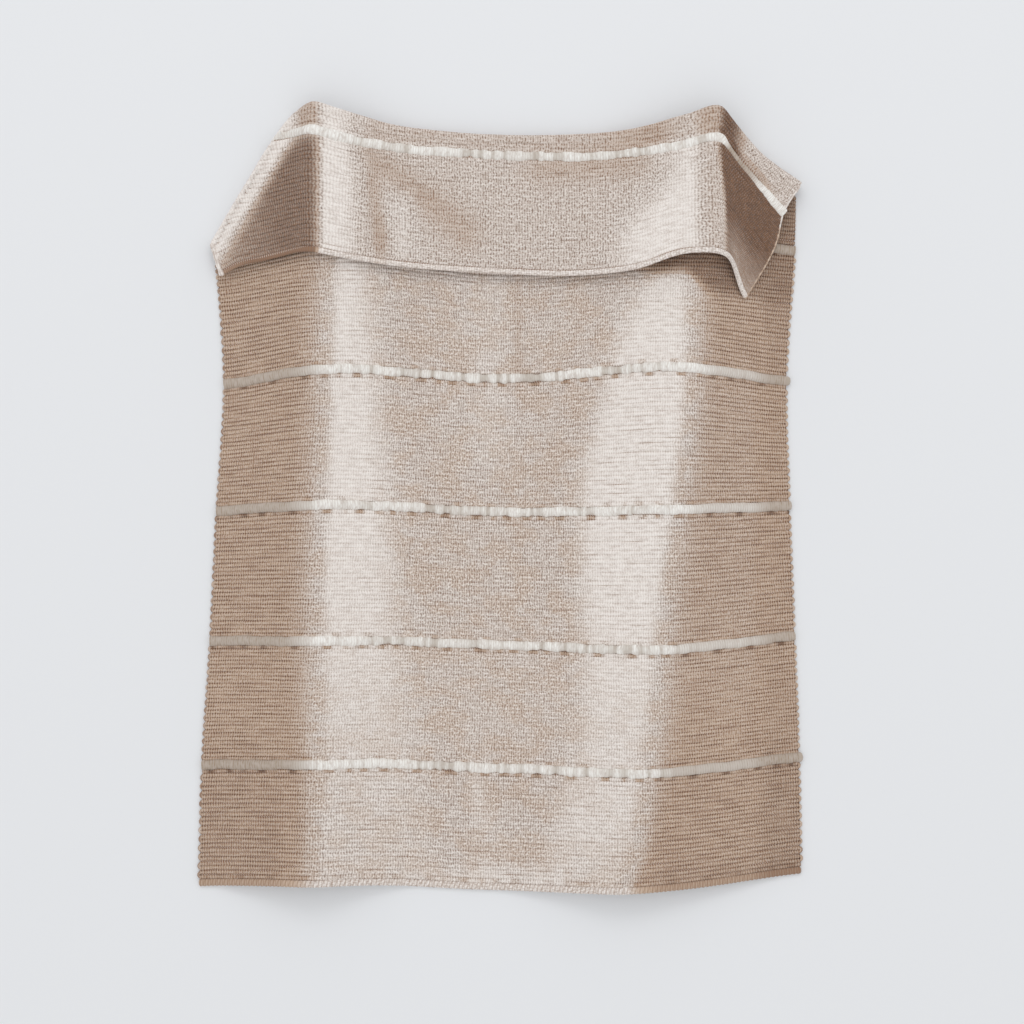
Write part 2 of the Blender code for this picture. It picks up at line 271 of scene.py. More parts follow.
# --- settings that a user would change ---
class ThrowSizes(bpy.types.PropertyGroup):
    rib_pitch: FloatProperty(
        name="Rib pitch", description="Distance from one weft rib to the next",
        default=0.0083, min=0.004, unit="LENGTH")
    shut_rib_half_width: FloatProperty(
        name="Shut rib half-width", description="Half the width of a weft rib where the weave is shut",
        default=0.0053, min=0.002, unit="LENGTH")
    open_rib_half_width: FloatProperty(
        name="Open rib half-width",
        description="Half the width of a weft rib where the weave opens over a fold",
        default=0.0046, min=0.002, unit="LENGTH")
    roving_half_width: FloatProperty(
        name="Roving half-width", description="Half the width of a roving stripe near the selvedges",
        default=0.0102, min=0.005, unit="LENGTH")
    middle_roving_half_width: FloatProperty(
        name="Middle roving half-width",
        description="Half the width of a roving stripe in the middle, where it is tied",
        default=0.0106, min=0.004, unit="LENGTH")
    base_thickness: FloatProperty(
        name="Ground thickness", description="Thickness of the warp ground between the ribs",
        default=0.0020, min=0.001, unit="LENGTH")
    hem_half_width: FloatProperty(
        name="Hem half-width", description="Half the width of a whip-stitched hem",
        default=0.0070, min=0.004, unit="LENGTH")
    stitch_pitch: FloatProperty(
        name="Hem stitch pitch", description="Distance between the slanted hem stitches",
        default=0.0088, min=0.003, unit="LENGTH")
    seed: IntProperty(name="Seed", description="Seed of the hand-made unevenness", default=7)


COLOUR = {"subtype": "COLOR", "size": 4, "min": 0.0, "max": 1.0}


class ThrowColours(bpy.types.PropertyGroup):
    cream: FloatVectorProperty(
        name="Cream weft", description="Light ply of the marled weft", default=linear("#F6F0EB"), **COLOUR)
    oat: FloatVectorProperty(
        name="Oat weft", description="Darker ply of the marled weft", default=linear("#C5B8AF"), **COLOUR)
    # Warm oat is both a random warm tone in soft clouds and painted shade where the cloth turns away.
    warm_oat: FloatVectorProperty(
        name="Open weave", description="Weft where the weave opens and the warp shines through",
        default=linear("#C8AF99"), **COLOUR)
    tan: FloatVectorProperty(
        name="Tan warp", description="Thin warp ends between the ribs", default=linear("#906C53"), **COLOUR)
    grey_tan: FloatVectorProperty(
        name="Level warp", description="Thin warp ends where the weave lies level",
        default=linear("#857062"), **COLOUR)
    # Brown is painted shade, in the gaps between the ribs and on the hems, where the cloth turns away.
    brown: FloatVectorProperty(
        name="Brown gaps", description="Depth of the weave where it gapes",
        default=linear("#67432C"), **COLOUR)
    # Dark brown is the deepest painted shade, on the flap's steep right panel and around the flap's right
    # end.
    deep_shade_brown: FloatVectorProperty(
        name="Dark gaps", description="Depth of the weave where the cloth hangs steeply",
        default=linear("#3A2216"), **COLOUR)
    roving_cream: FloatVectorProperty(
        name="Cream roving", description="Unspun roving in the light", default=linear("#FBFAF6"), **COLOUR)
    # Shaded roving is painted shade, where the cloth under the roving is in painted shade and in the dips
    # where it is tied.
    roving_shade: FloatVectorProperty(
        name="Shaded roving", description="Unspun roving where it is thin or tied down",
        default=linear("#A89989"), **COLOUR)


# --- smooth curves through the tables ---
def curve(keys, values, at):
    """Smooth curve through the values at the keys, flat beyond both ends."""
    at = np.asarray(at, dtype=float)
    keys = np.asarray(keys, dtype=float)
    values = np.asarray(values, dtype=float)
    keys = np.broadcast_to(keys, (len(at), keys.shape[-1]))
    values = np.broadcast_to(values, (len(at),) + values.shape[-2:])
    at = np.clip(at, keys[:, 0], keys[:, -1])
    steps = np.diff(keys, axis=1)[..., None]
    rises = np.diff(values, axis=1) / steps
    inner = (rises[:, :-1] * steps[:, 1:] + rises[:, 1:] * steps[:, :-1]) / (steps[:, :-1] + steps[:, 1:])
    slopes = np.concatenate((rises[:, :1], inner, rises[:, -1:]), axis=1)
    index = np.clip((keys < at[:, None]).sum(axis=1) - 1, 0, keys.shape[1] - 2)
    row = np.arange(len(at))
    step = steps[row, index]
    t = (at - keys[row, index])[:, None] / step
    start = values[row, index] * (2 * t ** 3 - 3 * t ** 2 + 1)
    start += slopes[row, index] * step * (t ** 3 - 2 * t ** 2 + t)
    end = values[row, index + 1] * (3 * t ** 2 - 2 * t ** 3)
    end += slopes[row, index + 1] * step * (t ** 3 - t ** 2)
    return start + end


def fade(low, high, at):
    """0 below low, 1 above high, and a soft step between them."""
    t = np.clip((np.asarray(at, dtype=float) - low) / (high - low), 0.0, 1.0)
    return t * t * (3 - 2 * t)


def unit(vectors):
    """The vectors at length 1."""
    return vectors / np.maximum(np.linalg.norm(vectors, axis=-1, keepdims=True), 1e-9)


# --- height of the cloth's underside above the floor ---
def flank(distance, width, fall, rounding):
    """Share of the ridge's height that is left at a distance from its crest."""
    rounding = rounding / width
    share = np.clip(distance / width, 0.0, 1.0)
    drop = (np.hypot(share, rounding) - rounding) / (np.hypot(1.0, rounding) - rounding)
    return np.clip(1.0 - drop, 0.0, 1.0) ** fall


def ridge_height(ridge, inner_width, x, y):
    """Height of one ridge at places on the floor."""
    crest_x, height, foot_x, fall = curve(ridge[:, 0], ridge[:, 1:], y).T
    outward = np.sign(foot_x - crest_x)
    offset = (x - crest_x) * outward
    rounding = CREST_ROUNDING[0] + (CREST_ROUNDING[1] - CREST_ROUNDING[0]) * fade(0.44, 0.54, y)
    outer = flank(offset, np.abs(foot_x - crest_x), fall, rounding)
    inner = flank(-offset, inner_width, INNER_FALL, rounding)
    return height * np.where(offset > 0, outer, inner)


def crease_height(creases, x, y):
    """Height of soft creases, each a line between two places with a half-width and a height."""
    total = np.zeros(len(x))
    for x0, y0, x1, y1, half_width, height in creases:
        length = math.hypot(x1 - x0, y1 - y0)
        along = ((x - x0) * (x1 - x0) + (y - y0) * (y1 - y0)) / length ** 2
        aside = ((x - x0) * (y1 - y0) - (y - y0) * (x1 - x0)) / length
        ends = fade(-0.25, 0.20, along) * (1 - fade(0.80, 1.25, along))
        total += height * ends * np.exp(-(aside / half_width) ** 2)
    return total


def lift(x, y):
    """Height of the body's underside above the floor."""
    left = ridge_height(LEFT_RIDGE, MIDDLE_FOOT_LEFT, x, y)
    right = ridge_height(RIGHT_RIDGE, MIDDLE_FOOT_RIGHT, x, y)
    return np.maximum(left, right) + crease_height(BODY_CREASES, x, y)


# --- places on the cloth ---
def fold_of(shares):
    """Fold points, directions from the fold towards the flap, and fold radii."""
    row = curve(FLAP_COLUMNS[:, 0], FLAP_COLUMNS[:, 1:], shares)
    return row[:, 0:2], unit(row[:, 2:4] - row[:, 0:2]), row[:, 6]


def body_knots(shares):
    """Keys along the cloth and places of the body's lines at each share of the width."""
    fold, inward, radius = fold_of(shares)
    places = []
    for _, x_left, x_right, heights in BODY_LINES:
        x = x_left + (x_right - x_left) * shares
        y = curve(LINE_STATIONS, np.array(heights)[:, None], shares)[:, 0]
        places.append(np.stack((x, y), axis=1))
    places.append(fold + inward * radius[:, None])
    flats = [np.full(len(shares), line[0]) for line in BODY_LINES] + [FOLD_AT - radius]
    return np.stack(flats, axis=1), np.stack(places, axis=1)


def flap_knots(shares):
    """Distances from the fold, places and gaps of the flap's stripe, middle and hem."""
    row = curve(FLAP_COLUMNS[:, 0], FLAP_COLUMNS[:, 1:], shares)
    fold, stripe, hem = row[:, 0:2], row[:, 2:4], row[:, 4:6]
    bow = fade(FLAP_BOW_FROM, 1.0, shares)[:, None]
    middle = (stripe + hem) / 2 + np.array(FLAP_SELVEDGE_BOW) * bow
    places = np.stack((fold, stripe, middle, hem), axis=1)
    lengths = np.linalg.norm(np.diff(places, axis=1), axis=2)
    distances = np.concatenate((np.zeros((len(shares), 1)), np.cumsum(lengths, axis=1)), axis=1)
    radius = row[:, 6]
    middle_gap = np.full(len(shares), FLAP_MIDDLE_GAP)
    gaps = np.stack((2 * radius, 2 * FOLD_EASE * radius, middle_gap, row[:, 7]), axis=1)
    return distances, places, gaps


def on_body(shares, flats):
    """Middle of the cloth's thickness on the body."""
    keys, places = body_knots(shares)
    spot = curve(keys, places, flats)
    z = lift(spot[:, 0], spot[:, 1]) + CLOTH_THICKNESS / 2
    return np.column_stack((spot, z))


def hidden_length(shares):
    """Distance on the body from its last stripe to the start of the fold."""
    places = body_knots(shares)[1]
    return np.linalg.norm(places[:, -1] - places[:, -2], axis=1)


def on_flap(shares, beyond):
    """Middle of the cloth's thickness at distances beyond the top of the fold.

    Distances below zero run back round the fold, and then along the body."""
    fold, inward, radius = fold_of(shares)
    distances, places, gaps = flap_knots(shares)
    spot = curve(distances, places, radius + np.maximum(beyond, 0.0))
    gap = curve(distances, gaps[..., None], radius + np.maximum(beyond, 0.0))[:, 0]
    relief = crease_height(FLAP_CREASES, spot[:, 0], spot[:, 1])
    flap = np.column_stack((spot, lift(spot[:, 0], spot[:, 1]) + CLOTH_THICKNESS / 2 + gap + relief))
    turn = np.maximum(math.pi / 2 + np.minimum(beyond, 0.0) / radius, -math.pi / 2)
    around = fold + inward * (radius * (1 - np.cos(turn)))[:, None]
    base = fold + inward * radius[:, None]
    z = lift(base[:, 0], base[:, 1]) + CLOTH_THICKNESS / 2 + radius * (1 + np.sin(turn))
    roll = np.column_stack((around, z))
    back = np.maximum(-beyond - math.pi * radius, 0.0)
    reach = (FOLD_AT - radius - FIFTH_STRIPE) / hidden_length(shares)
    body = on_body(shares, FOLD_AT - radius - back * reach)
    points = np.where((beyond >= 0)[:, None], flap, roll)
    return np.where((back > 0)[:, None], body, points)


def thread(surface, shares, along):
    """Points of a thread, its direction across the ribs, and the cloth's normal."""
    points = surface(shares, along)
    upward = surface(shares, along + FINITE_STEP) - surface(shares, along - FINITE_STEP)
    run = unit(np.gradient(points, axis=0))
    normal = unit(np.cross(run, upward))
    return points, np.cross(normal, run), normal, run


def flap_length(shares):
    """Distance from the top of the fold to the flap's hem."""
    return flap_knots(shares)[0][:, -1] - fold_of(shares)[2]


def flap_along(shares, part):
    """Distances beyond the top of the fold along a thread of the flap.

    Left of the drawn-in corner a thread keeps its distance from the flap's hem,
    so it runs into the fold, which slants there."""
    inner = np.maximum(shares, LEFT_CORNER)
    stripe = flap_knots(inner)[0][:, 1] - fold_of(inner)[2]
    hem = flap_length(inner)
    return part(stripe, hem) - (hem - flap_length(shares))


# --- how the weave lies ---
def band(at, low, low_full, high_full, high):
    """1 between the two full places, 0 outside low and high, with soft steps between them."""
    return fade(low, low_full, at) * (1 - fade(high_full, high, at))


def streak(x, y, streaks):
    """How much the weave changes in short streaks."""
    return sum(
        amount * np.exp(-((x - at_x) / half_x) ** 2 - ((y - at_y) / half_y) ** 2)
        for at_x, at_y, half_x, half_y, amount in streaks)


def painted_shading_of(points):
    """Painted light and shade on the body: 0 a pale painted highlight on a ridge's inner side, 0.5 level,
    about 1 painted shade outside the ridges, and more painted shadow under the flap's right end."""
    x, y = points[:, 0], points[:, 1]
    left_out, left_in, left_pale, right_in, right_out, right_pale = curve(
        PALE_BANDS[:, 0], PALE_BANDS[:, 1:], y).T
    # Pale bands of painted highlight on the inner side of each ridge.
    paled = left_pale * band(x, left_out - 0.005, left_out + 0.060, left_in - 0.075, left_in + 0.065)
    paled += right_pale * band(x, right_in - 0.055, right_in + 0.050, right_out - 0.050, right_out + 0.030)
    # The middle is paler towards the flap, in the lowest field and along the bottom hem.
    paled += 0.36 * np.exp(-((x - MIDDLE_PALE_X) / 0.060) ** 2) * fade(0.0, 0.10, y)
    paled += 0.34 * np.exp(-((x - MIDDLE_PALE_X) / 0.062) ** 2) * (1 - fade(-0.66, -0.56, y))
    paled += 0.30 * band(x, -0.20, -0.08, 0.06, 0.16) * (1 - fade(-0.760, -0.715, y))
    paled += streak(x, y, BODY_STREAKS)
    # Outside the ridges, on the wings, lies painted shade.
    wing_shade = np.maximum(fade(-0.060, 0.060, left_out - x), fade(-0.050, 0.060, x - right_out))
    # Outside the right ridge the painted shade deepens towards the selvedge, the flap and the bottom.
    right = RIGHT_WING_SHADE + 0.24 * fade(0.49, 0.55, x) + 0.28 * fade(0.40, 0.47, x) * fade(0.36, 0.42, y)
    right += 0.10 * fade(0.20, 0.35, y) + 0.16 * (1 - fade(-0.76, -0.68, y))
    # On both wings the painted shade deepens towards the bottom.
    wing_shading = np.where(x < 0, LEFT_WING_SHADE, right) + 0.19 * (1 - fade(-0.75, -0.25, y))
    # Painted shade along the first crease of the body.
    crease = 0.22 * crease_height(BODY_CREASES[:1], x, y) / BODY_CREASES[0][5]
    lean = (LEVEL_LEAN * (1 - paled) + crease) * (1 - wing_shade) + wing_shading * wing_shade
    # A painted shadow on the body under the flap's right end.
    shade_from = 0.445 - 0.040 * fade(0.36, 0.42, x)
    shaded = fade(0.25, 0.32, x) * (1 - 0.7 * fade(0.45, 0.48, x)) * fade(-0.015, 0.020, y - shade_from)
    return lean + (UNDER_FLAP_SHADE - lean) * shaded


def flap_painted_shading(points, shares, beyond):
    """Painted light and shade on the flap: its left side is rolled at the fold and has a pale painted
    highlight there, its right side hangs steeply in deep painted shade, and each trough has a little painted
    shade."""
    x, y = points[:, 0], points[:, 1]
    past_stripe = beyond - (flap_knots(shares)[0][:, 1] - fold_of(shares)[2])
    slant = 0.105 * fade(0.50, 0.66, y)
    # Pale bands of painted highlight beside each ridge.
    paled = band(x, -0.370, -0.342, -0.325, -0.245)
    paled += band(x, 0.170 + slant, 0.300 + slant, 0.365, 0.415)
    lean = 0.53 - 0.48 * paled + 0.06 * fade(0.385, 0.420, x)
    # Painted shade in each crease's trough, and a painted highlight on a raised crease.
    for crease in FLAP_CREASES:
        lean -= 0.27 * crease_height((crease,), x, y) / abs(crease[5])
    lean += streak(x, y, FLAP_STREAKS)
    # Between the fold and the stripe it has more painted shade, and most on the right.
    above_stripe = (1 - fade(-0.020, 0.004, past_stripe)) * fade(-0.36, -0.34, x)
    lean += (0.10 + 0.32 * fade(0.18, 0.30, x)) * above_stripe
    # The left wing is in painted shade below the stripe, less towards the selvedge, and has a pale painted
    # highlight where it is rolled.
    wing = 0.95 + 0.80 * fade(0.0, 0.03, past_stripe) - 0.40 * fade(0.42, 0.54, -x)
    lean = lean + (wing - lean) * (1 - fade(-0.370, -0.345, x))
    roll = (1 - fade(0.012, 0.070, beyond)) * (1 - fade(LEFT_CORNER - 0.035, LEFT_CORNER - 0.005, shares))
    lean = lean * (1 - 0.95 * roll)
    # Right of the crease the panel below the stripe has the deepest painted shade, most of all at the crease
    # itself.
    panel = DEEPEST_SHADE - 0.80 * fade(0.08, 0.20, past_stripe) - 0.15 * fade(0.93, 1.0, shares)
    panel += 0.25 * (1 - fade(RIGHT_CREASE, RIGHT_CREASE + 0.035, shares))
    # Above the stripe and right of the crease is painted shade, darkest next to the crease and in a strip
    # along the stripe.
    above = 0.50 + 1.5 * (1 - fade(0.846, 0.884, shares))
    above += 0.7 * fade(-0.030, -0.012, past_stripe) * (1 - fade(0.92, 0.97, shares))
    deepest_shade = np.where(past_stripe > 0, panel, above)
    side = fade(-0.014, -0.003, shares - RIGHT_CREASE + 0.012 * (1 - fade(0.0, 0.14, past_stripe)))
    return np.clip(lean + (deepest_shade - lean) * side, 0.0, DEEPEST_SHADE)


# --- meshes ---
def add_cloth_map(mesh, uv):
    """Adds the map in metres on the flat cloth, from the place of each vertex."""
    loops = np.empty(len(mesh.loops), dtype=np.int32)
    mesh.loops.foreach_get("vertex_index", loops)
    mesh.uv_layers.new(name="cloth").data.foreach_set("uv", uv[loops].ravel())


class Build:
    """Collects closed tubes that become one mesh."""

    def __init__(self):
        self.vertices, self.quads, self.caps = [], [], []
        self.uv, self.groove, self.lean = [], [], []
        self.count = 0

    def tube(self, points, across, normal, half_width, half_height, sides, uv_x, uv_y, lean, groove=None):
        """Adds a closed tube along the points; its half sizes may vary along it."""
        turns = np.arange(sides) * 2 * math.pi / sides
        cosine, sine = np.cos(turns), np.sin(turns)
        half_width = np.broadcast_to(half_width, len(points))[:, None, None]
        half_height = np.broadcast_to(half_height, len(points))[:, None, None]
        ring = across[:, None] * cosine[None, :, None] * half_width
        ring = ring + normal[:, None] * sine[None, :, None] * half_height
        self.vertices.append((points[:, None] + ring).reshape(-1, 3))
        rows, ring_index = np.meshgrid(np.arange(len(points) - 1), np.arange(sides), indexing="ij")
        following = (ring_index + 1) % sides
        first = self.count + rows * sides
        quads = np.stack(
            (first + ring_index, first + following, first + sides + following, first + sides + ring_index),
            axis=-1)
        self.quads.append(quads.reshape(-1, 4))
        last = self.count + (len(points) - 1) * sides
        self.caps.append(list(range(self.count + sides - 1, self.count - 1, -1)))
        self.caps.append(list(range(last, last + sides)))
        v = np.asarray(uv_y, dtype=float).reshape(-1, 1) + cosine[None, :] * half_width[:, :, 0]
        u = np.broadcast_to(np.asarray(uv_x)[:, None], v.shape)
        self.uv.append(np.stack((u, v), axis=-1).reshape(-1, 2))
        groove = np.abs(cosine) if groove is None else groove[:, None]
        lean = np.broadcast_to(lean, len(points))[:, None]
        self.groove.append(np.broadcast_to(groove, (len(points), sides)).reshape(-1))
        self.lean.append(np.broadcast_to(lean, (len(points), sides)).reshape(-1))
        self.count += len(points) * sides

    def finish(self, name, material):
        """Makes the mesh object, with its cloth map in metres and its two attributes."""
        vertices = np.concatenate(self.vertices)
        vertices[:, 2] = np.maximum(vertices[:, 2], 0.0)
        faces = np.concatenate(self.quads).tolist() + self.caps
        mesh = bpy.data.meshes.new(name)
        mesh.from_pydata(vertices.tolist(), [], faces)
        add_cloth_map(mesh, np.concatenate(self.uv))
        for key, values in (("groove", self.groove), ("lean", self.lean)):
            attribute = mesh.attributes.new(key, "FLOAT", "POINT")
            attribute.data.foreach_set("value", np.concatenate(values).astype(np.float32))
        mesh.shade_smooth()
        mesh.materials.append(material)
        piece = bpy.data.objects.new(name, mesh)
        bpy.context.scene.collection.objects.link(piece)
        return piece


def settle(piece):
    """Every piece of the throw rides on its one body."""
    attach(piece, BODY)


# --- materials ---
def add_node(tree, kind, settings, *inputs, output=0):
    """Adds a node, sets its properties, gives or links its inputs, and returns one of its outputs."""
    node = tree.nodes.new("ShaderNode" + kind)
    for key, value in {**settings, **dict(enumerate(inputs))}.items():
        if isinstance(key, str) and hasattr(node, key):
            setattr(node, key, value)
        elif isinstance(value, bpy.types.NodeSocket):
            tree.links.new(value, node.inputs[key])
        else:
            node.inputs[key].default_value = value
    return node.outputs[output]


SOFT = {"interpolation_type": "SMOOTHSTEP"}
TIMES = {"operation": "MULTIPLY"}
TIMES_PLUS = {"operation": "MULTIPLY_ADD"}
LARGER = {"operation": "MAXIMUM"}
RGBA = {"data_type": "RGBA"}


class Wool:
    """A wool while it is put together: fibres scatter the light, so it is rough, barely glossy and a
    little sheeny. Its pattern lies in the cloth's own map, in metres."""

    def __init__(self, name, roughness):
        self.material = bpy.data.materials.new(name)
        self.material.use_nodes = True
        self.tree = self.material.node_tree
        self.shader = self.tree.nodes["Principled BSDF"]
        for key, value in {
                "Roughness": roughness, "Specular IOR Level": 0.2,
                "Sheen Weight": 0.10, "Sheen Roughness": 0.6}.items():
            self.shader.inputs[key].default_value = value
        self.add = functools.partial(add_node, self.tree)
        self.uv = self.add("UVMap", {"uv_map": "cloth"})

    def warp(self, wander=0.0):
        """A wave along the ribs, one to a warp end, pushed along by the wander."""
        along = self.add("SeparateXYZ", {}, self.uv)
        return self.add("Math", {"operation": "SINE"}, self.add(
            "Math", TIMES_PLUS, along, 2 * math.pi / WARP_PITCH, wander))

    def finish(self, colour, layers, relief=None, depth=0.0008):
        """Lays colours over the first by their shares, adds the relief, and returns the material."""
        for share, over in layers:
            colour = self.add("Mix", {**RGBA, 0: share, 6: colour, 7: over}, output=2)
        self.tree.links.new(colour, self.shader.inputs["Base Color"])
        if relief:
            bump = self.add("Bump", {"Strength": 0.4, "Distance": depth, "Height": relief})
            self.tree.links.new(bump, self.shader.inputs["Normal"])
        return self.material


def ribbed_wool(colours, name, speckle):
    """Woven wool blend: marled cream and oat ribs with tan warp between them, paler cream in the painted
    highlight, and warmer with brown gaps between the ribs in the painted shade, where the cloth turns away.
    Speckle 1 is the cloth's other face, which the flap shows: the warp lies on top there in fine specks and
    the ribs show less."""
    wool = Wool(name, 0.92)
    add = wool.add
    groove = add("Attribute", {"attribute_name": "groove"}, output="Fac")
    lean = add("Attribute", {"attribute_name": "lean"}, output="Fac")
    # The warp ends wander a little from rib to rib. The marl changes slowly along a rib, in soft clouds
    # over many, and in flecks a few millimetres long. The gaps and the ruddy painted shade come in patches.
    wander, clouds, marl, flecks, patches, segments = (
        add("TexNoise", {
            "Vector": add("Mapping", {"Scale": (1 / length, 1 / width, 1.0), "Location": place}, wool.uv),
            "Scale": 1.0, "Detail": detail, "Roughness": roughness})
        for length, width, detail, roughness, place in (
            (0.030, 0.012, 1.0, 0.5, (0.0, 0.0, 0.0)),
            (0.070, 0.050, 2.0, 0.6, (0.0, 0.0, 0.0)),
            (0.022, 0.0070, 3.0, 0.6, (0.0, 0.0, 0.0)),
            (0.0048, 0.0040, 2.0, 0.6, (0.0, 0.0, 0.0)),
            (0.050, 0.0100, 2.0, 0.6, (3.0, 5.0, 0.0)),
            (0.060, 0.0085, 2.0, 0.5, (7.0, 1.0, 0.0))))
    warp = wool.warp(add("Math", TIMES, wander, 8.0))
    # How far each place lies in painted shade, outside the pale painted highlight, and in the deepest painted
    # shade.
    painted_shade = add("MapRange", SOFT, lean, 0.40, 0.95)
    level = add("MapRange", SOFT, lean, 0.05, 0.45)
    deepest_shade = add("MapRange", {}, lean, 1.0, 2.0)
    mottle = add("MapRange", SOFT, marl, 0.36, 0.66)
    # More of the oat ply outside the pale painted highlight.
    ply = add("Math", TIMES_PLUS, mottle, 0.45, add("Math", TIMES, level, 0.50))
    # Warm oat in soft clouds outside the painted highlight, and as painted shade where the cloth turns away.
    warmth_and_shade = add("Math", TIMES, level, add("MapRange", SOFT, clouds, 0.40, 0.60, 0.0, 0.50 - 0.40 * speckle))
    warmth_and_shade = add("Math", LARGER, warmth_and_shade, add("Math", TIMES, painted_shade, 1.0 - 0.45 * speckle))
    # Ruddy patches of painted shade where the cloth turns away.
    ruddy_shade = add("Math", TIMES, painted_shade, add("MapRange", SOFT, segments, 0.42, 0.62, 0.0, 0.30))
    # The deepest painted shade, tan to dark brown by the marl.
    shadow = add("Math", TIMES_PLUS, mottle, 0.36, 0.30)
    shadow = add("Mix", {**RGBA, 0: shadow, 6: colours.tan, 7: colours.deep_shade_brown}, output=2)
    # The warp shows as faint upright threads on every rib, fainter in the pale painted highlight.
    threads = add(
        "Math", TIMES, add("MapRange", SOFT, warp, -0.9, 0.5, 1.0, 0.0),
        add("MapRange", {}, level, 0.0, 1.0, 0.15, 0.30))
    # Light cream flecks, fewer in the painted shade.
    pale = add(
        "Math", TIMES, add("MapRange", SOFT, flecks, 0.53, 0.36, 0.0, 0.72),
        add("MapRange", {}, painted_shade, 0.0, 1.0, 1.0, 0.30))
    pale = add("Math", TIMES, pale, add("MapRange", {}, deepest_shade, 0.0, 1.0, 1.0, 0.46))
    # In the painted shade, a painted highlight lies on the middle of every rib, where the warp crosses it.
    crown_highlights = add("Math", TIMES, painted_shade, add("MapRange", {}, lean, 1.0, 1.6, 1.0, 0.28))
    crown_highlights = add("Math", TIMES, crown_highlights, add("MapRange", SOFT, groove, 0.25, 0.65, 1.0, 0.0))
    crown_highlights = add("Math", TIMES, add("MapRange", SOFT, warp, 0.0, 0.9, 0.0, 0.42), crown_highlights)
    # The gaps between the ribs: dots in the pale painted highlight, and dashed lines of tan to brown painted
    # shade where the cloth turns away.
    between = add("MapRange", SOFT, warp, -0.6, 0.4, 1.0, 0.0)
    strength = add(
        "MapRange", {}, lean, 0.05, 0.90 + 0.40 * speckle, 0.22 - 0.12 * speckle, 1.15 - 0.65 * speckle)
    dash = add("Math", LARGER, between, add("Math", TIMES, painted_shade, 0.08))
    dash = add("Math", TIMES, dash, add("Math", LARGER, strength, deepest_shade))
    gap = add(
        "Math", TIMES, add("MapRange", SOFT, groove, 0.32, 0.72),
        add("MapRange", SOFT, patches, 0.38, 0.60, 0.22, 1.0))
    gap = add("Math", TIMES, gap, dash)
    gap_shade = add("Mix", {**RGBA, 0: painted_shade, 6: colours.tan, 7: colours.brown}, output=2)
    gap_shade = add("Mix", {**RGBA, 0: deepest_shade, 6: gap_shade, 7: colours.deep_shade_brown}, output=2)
    # Where the cloth hangs steeply, dark pits of painted shade also show on the ribs between the warp ends.
    shade_pits = add("Math", TIMES, add("MapRange", SOFT, warp, -0.5, 0.3, 0.50, 0.0), deepest_shade)
    # Warp ends that come up over a rib, as small tan dots.
    dots = add("MapRange", SOFT, flecks, 0.48, 0.62, 0.0, 0.60 + 0.25 * speckle)
    dots = add("Math", TIMES, dots, add("Math", TIMES, between, level))
    # The dots are grey-tan, and redder tan in the painted shade.
    ends = add("Mix", {**RGBA, 0: painted_shade, 6: colours.grey_tan, 7: colours.tan}, output=2)
    return wool.finish(colours.cream, (
        (ply, colours.oat), (warmth_and_shade, colours.warm_oat), (ruddy_shade, colours.tan), (deepest_shade, shadow),
        (threads, colours.tan), (pale, colours.cream), (crown_highlights, colours.oat), (gap, gap_shade),
        (shade_pits, colours.deep_shade_brown), (dots, ends),
    ), add("Math", TIMES_PLUS, warp, 0.5, flecks))


def warp_ground(colours):
    """Warp ends between the ribs: thin oat threads side by side, tan in the depth of the weave."""
    wool = Wool("warp_ground_wool", 0.95)
    threads = wool.add("MapRange", SOFT, wool.warp(), -0.2, 0.8)
    return wool.finish(colours.tan, ((threads, colours.oat),))


def roving_wool(colours):
    """Unspun wool roving: near-white and soft, with fine fibres and the warp's faint lines across it, and
    painted shade where the cloth under it is in painted shade and in the dips where it is tied down. Its
    groove attribute says how hard it is tied."""
    wool = Wool("unspun_wool_roving", 0.9)
    add = wool.add
    tied = add("Attribute", {"attribute_name": "groove"}, output="Fac")
    lean = add("Attribute", {"attribute_name": "lean"}, output="Fac")
    fibres = add("TexNoise", {
        "Vector": add("Mapping", {"Scale": (1 / 0.0045, 1 / 0.0120, 1.0)}, wool.uv),
        "Scale": 1.0, "Detail": 3.0, "Roughness": 0.6})
    warp = wool.warp()
    # Painted shade on the roving where the cloth under it is in painted shade.
    thin = add("MapRange", SOFT, lean, 0.36, 1.06, 0.0, 0.92)
    shade = add("MapRange", SOFT, fibres, 0.40, 0.68, 0.0, 0.62)
    lines = add(
        "Math", TIMES, add("MapRange", SOFT, fibres, 0.30, 0.62, 1.0, 0.15),
        add("MapRange", {}, thin, 0.0, 1.0, 0.28, 0.60))
    lines = add("Math", TIMES, add("MapRange", SOFT, warp, -0.4, 0.9), lines)
    # Painted shade in the dips where the roving is tied.
    tie_shade = add("MapRange", SOFT, tied, 0.02, 0.32, 0.0, 0.62)
    return wool.finish(colours.roving_cream, (
        (thin, colours.roving_shade), (shade, colours.oat), (lines, colours.tan),
        (tie_shade, colours.roving_shade),
    ), add("Math", TIMES_PLUS, warp, -0.15, fibres), depth=0.0010)


